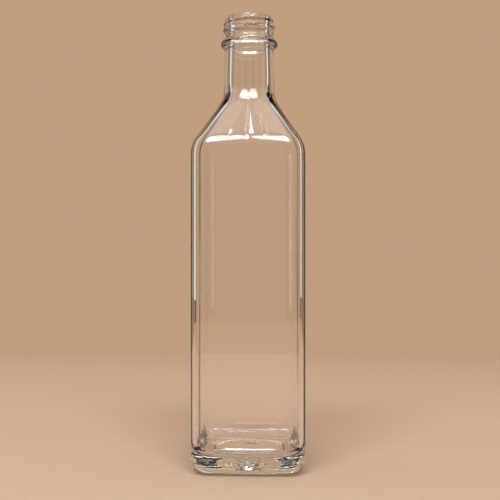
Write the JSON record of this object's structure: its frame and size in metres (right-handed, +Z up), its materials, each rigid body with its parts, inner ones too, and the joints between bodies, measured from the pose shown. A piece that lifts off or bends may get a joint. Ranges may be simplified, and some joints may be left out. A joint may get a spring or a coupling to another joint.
{
  "type": "square glass cooking oil bottle",
  "caption": "Tall square clear-glass cooking oil bottle, empty and open, with a sloping shoulder, a round neck and a screw finish for a roll-on closure.",
  "frame": {"origin": "on the bottle's axis, in the plane of the bearing ring that it stands on", "axes": "+Z up along the bottle's axis to the mouth; -Y out of the front panel, whose middle carries the mould seam; +X out of the right-hand panel"},
  "size_m": [0.0608, 0.0608, 0.2423],
  "materials": {
    "glass": "clear polished glass with a faint green tint in its thick edges"
  },
  "bodies": {
    "root": {"bottle": "glass"}
  },
  "joints": []
}
